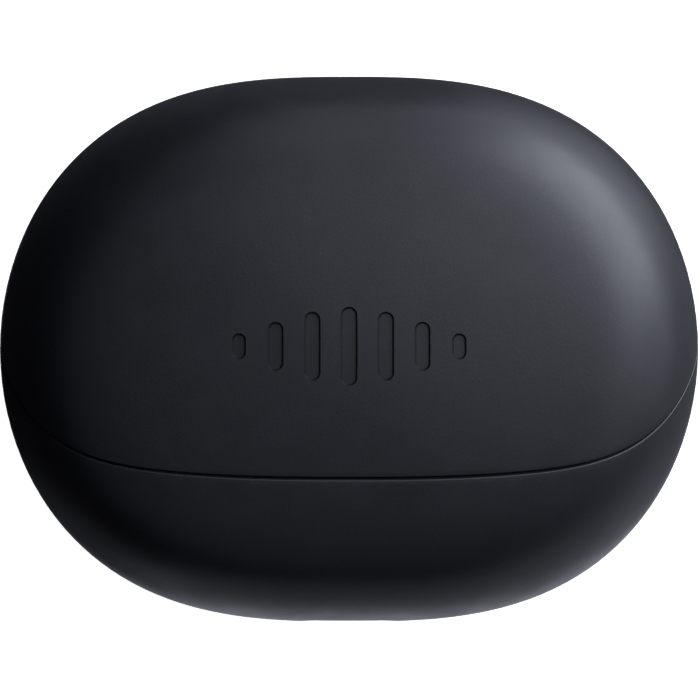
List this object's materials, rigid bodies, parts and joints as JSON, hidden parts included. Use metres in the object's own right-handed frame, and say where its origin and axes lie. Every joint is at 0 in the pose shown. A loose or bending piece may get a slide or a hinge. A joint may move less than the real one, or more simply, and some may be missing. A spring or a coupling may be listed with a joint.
{
  "type": "wireless earbuds case",
  "caption": "Pebble-shaped clamshell charging case for wireless earbuds, with a hinged lid, moulded wells, sprung contacts and a charging port at one end.",
  "frame": {"origin": "under the middle of the case, on the small flat that it rests on when it lies on its back", "axes": "+X across the case, +Y away from the charging port towards the hinged end, +Z out of the front face"},
  "size_m": [0.0662, 0.0517, 0.0308],
  "materials": {
    "shell": "soft-touch matt black",
    "insert": "satin black moulding",
    "steel": "satin stainless",
    "gold": "gold plated",
    "magnet": "bright nickel plate",
    "board": "green solder mask",
    "chip": "moulded black",
    "cell": "foil pouch",
    "foam": "foam tape",
    "lens": "milky, clear to light",
    "flex": "amber polyimide"
  },
  "bodies": {
    "base": {"base_shell": "shell", "cradle_tray": "insert", "hinge_base_leaf": "steel", "hinge_pin": "steel", "base_leaf_screw_1": "steel", "base_leaf_screw_2": "steel", "base_magnet_left": "magnet", "base_magnet_right": "magnet", "bud_magnet_left": "magnet", "bud_magnet_right": "magnet", "battery_cell": "cell", "battery_tape": "foam", "battery_connector": "lens", "main_board": "board", "board_screw_1": "steel", "board_screw_2": "steel", "board_screw_3": "steel", "board_screw_4": "steel", "contact_sleeve_1": "gold", "contact_sleeve_2": "gold", "contact_sleeve_3": "gold", "contact_sleeve_4": "gold", "button_switch": "chip", "charge_chip": "chip", "hall_sensor": "chip", "status_led": "lens", "light_pipe": "lens", "flex_cable": "flex", "port_board": "board", "port_shell": "steel", "port_tongue": "chip"},
    "lid": {"lid_shell": "shell", "lid_liner": "insert", "hinge_lid_leaf": "steel", "lid_leaf_screw_1": "steel", "lid_leaf_screw_2": "steel", "lid_magnet_left": "magnet", "lid_magnet_right": "magnet"},
    "pairing_button": {"pairing_button": "insert"},
    "contact_1": {"contact_plunger_1": "gold"},
    "contact_2": {"contact_plunger_2": "gold"},
    "contact_3": {"contact_plunger_3": "gold"},
    "contact_4": {"contact_plunger_4": "gold"}
  },
  "joints": [
    {"name": "lid_hinge", "type": "hinge", "parent": "base", "child": "lid", "pos_m": [0, 0.01259, 0.00183], "axis": [-1, 0, 0], "range_deg": [0, 100]},
    {"name": "button_press", "type": "slide", "parent": "base", "child": "pairing_button", "axis": [0, -0.7547, -0.6561], "range_m": [0, 0.0004], "stiffness_N_per_m": 900},
    {"name": "contact_press_1", "type": "slide", "parent": "base", "child": "contact_1", "axis": [0, -0.7547, -0.6561], "range_m": [0, 0.0008], "stiffness_N_per_m": 600},
    {"name": "contact_press_2", "type": "slide", "parent": "base", "child": "contact_2", "axis": [0, -0.7547, -0.6561], "range_m": [0, 0.0008], "stiffness_N_per_m": 600},
    {"name": "contact_press_3", "type": "slide", "parent": "base", "child": "contact_3", "axis": [0, -0.7547, -0.6561], "range_m": [0, 0.0008], "stiffness_N_per_m": 600},
    {"name": "contact_press_4", "type": "slide", "parent": "base", "child": "contact_4", "axis": [0, -0.7547, -0.6561], "range_m": [0, 0.0008], "stiffness_N_per_m": 600}
  ]
}
